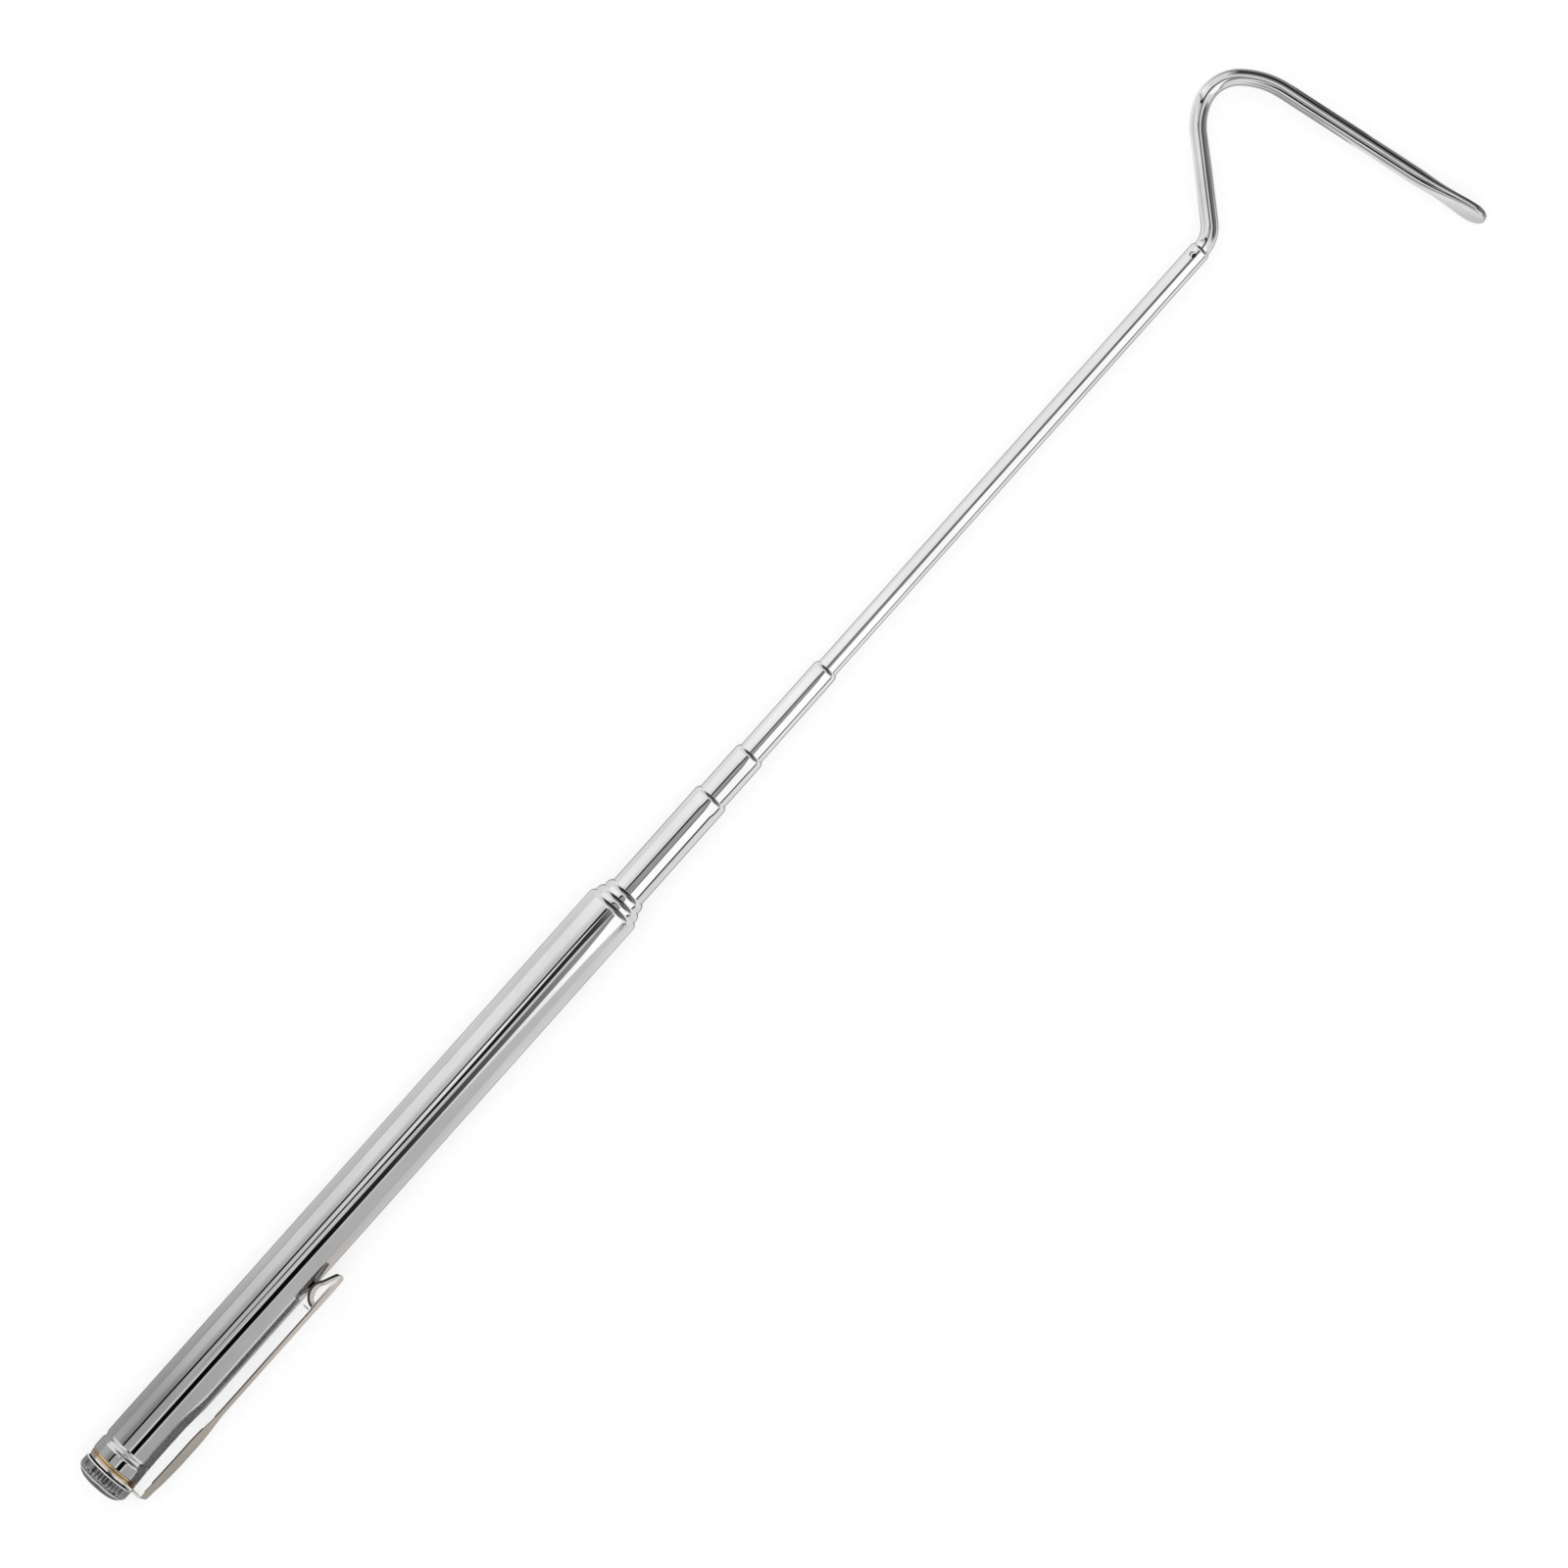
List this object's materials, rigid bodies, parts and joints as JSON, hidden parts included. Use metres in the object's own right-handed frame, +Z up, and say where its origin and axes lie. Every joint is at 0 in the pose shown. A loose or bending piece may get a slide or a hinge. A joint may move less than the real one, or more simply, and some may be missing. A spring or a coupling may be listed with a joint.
{
  "type": "telescoping pickup hook",
  "caption": "Pocket-size telescoping hook for retrieving dropped parts: nested chrome tubes in a clipped handle, with a bent steel hook whose tip is flattened.",
  "frame": {"origin": "centre of the end cap's flat face, on the tool's axis", "axes": "+X along the tool from the end cap to the hook; +Z up when the tool lies on a table, with the table half a handle diameter below the origin; the clip and the hook's leg point towards -Y"},
  "size_m": [0.3535, 0.0568, 0.011],
  "materials": {
    "handle_chrome": "mirror polished plating",
    "tube_chrome": "mirror polished plating with fine drawing lines",
    "knurled_chrome": "straight knurl, bright plating",
    "clip_steel": "plated pressed sheet",
    "hook_steel": "plated bent rod",
    "brass": "turned",
    "spring_bronze": "cold rolled strip"
  },
  "bodies": {
    "handle": {"handle_tube": "handle_chrome", "thread_insert": "brass"},
    "clip_mount": {"clip_ring": "clip_steel", "brass_washer": "brass"},
    "cap": {"end_cap": "knurled_chrome"},
    "clip": {"clip_arm": "clip_steel"},
    "springs_1": {"friction_springs_1": "spring_bronze"},
    "section_1": {"tube_1": "tube_chrome", "base_collar_1": "brass"},
    "springs_2": {"friction_springs_2": "spring_bronze"},
    "section_2": {"tube_2": "tube_chrome", "base_collar_2": "brass"},
    "springs_3": {"friction_springs_3": "spring_bronze"},
    "section_3": {"tube_3": "tube_chrome", "base_collar_3": "brass"},
    "springs_4": {"friction_springs_4": "spring_bronze"},
    "section_4": {"tube_4": "tube_chrome", "base_collar_4": "brass"},
    "springs_5": {"friction_springs_5": "spring_bronze"},
    "section_5": {"tube_5": "tube_chrome", "base_collar_5": "brass"},
    "springs_6": {"friction_springs_6": "spring_bronze"},
    "section_6": {"tube_6": "tube_chrome", "base_collar_6": "brass", "hook": "hook_steel", "hook_pin": "hook_steel"}
  },
  "joints": [
    {"name": "cap_unscrew", "type": "slide", "parent": "handle", "child": "clip_mount", "axis": [1, 0, 0], "range_m": [-0.006, 0]},
    {"name": "cap_turn", "type": "hinge", "parent": "clip_mount", "child": "cap", "pos_m": [0, 0, 0], "axis": [1, 0, 0], "range_deg": [-2880.1, 0]},
    {"name": "clip_flex", "type": "hinge", "parent": "clip_mount", "child": "clip", "pos_m": [0.00425, -0.00734, 0.00197], "axis": [0, -0.2588, -0.9659], "range_deg": [0, 4], "stiffness_Nm_per_rad": 5, "springref_deg": -1.72},
    {"name": "tube_1_slide", "type": "slide", "parent": "handle", "child": "springs_1", "axis": [1, 0, 0], "range_m": [0, 0.1172]},
    {"name": "tube_1_swivel", "type": "hinge", "parent": "springs_1", "child": "section_1", "pos_m": [0.1483, 0, 0], "axis": [1, 0, 0], "continuous": true},
    {"name": "tube_2_slide", "type": "slide", "parent": "section_1", "child": "springs_2", "axis": [1, 0, 0], "range_m": [0, 0.1189]},
    {"name": "tube_2_swivel", "type": "hinge", "parent": "springs_2", "child": "section_2", "pos_m": [0.1502, 0, 0], "axis": [1, 0, 0], "continuous": true},
    {"name": "tube_3_slide", "type": "slide", "parent": "section_2", "child": "springs_3", "axis": [1, 0, 0], "range_m": [-0.0221, 0.0987]},
    {"name": "tube_3_swivel", "type": "hinge", "parent": "springs_3", "child": "section_3", "pos_m": [0.1742, 0, 0], "axis": [1, 0, 0], "continuous": true},
    {"name": "tube_4_slide", "type": "slide", "parent": "section_3", "child": "springs_4", "axis": [1, 0, 0], "range_m": [-0.009, 0.1137]},
    {"name": "tube_4_swivel", "type": "hinge", "parent": "springs_4", "child": "section_4", "pos_m": [0.1851, 0, 0], "axis": [1, 0, 0], "continuous": true},
    {"name": "tube_5_slide", "type": "slide", "parent": "section_4", "child": "springs_5", "axis": [1, 0, 0], "range_m": [-0.0196, 0.105]},
    {"name": "tube_5_swivel", "type": "hinge", "parent": "springs_5", "child": "section_5", "pos_m": [0.2066, 0, 0], "axis": [1, 0, 0], "continuous": true},
    {"name": "tube_6_slide", "type": "slide", "parent": "section_5", "child": "springs_6", "axis": [1, 0, 0], "range_m": [-0.104, 0.0225]},
    {"name": "tube_6_swivel", "type": "hinge", "parent": "springs_6", "child": "section_6", "pos_m": [0.3125, 0, 0], "axis": [1, 0, 0], "continuous": true}
  ],
  "couplings": [
    {"joint": "cap_turn", "follows": "cap_unscrew", "rad_per_m": 8377.6}
  ]
}
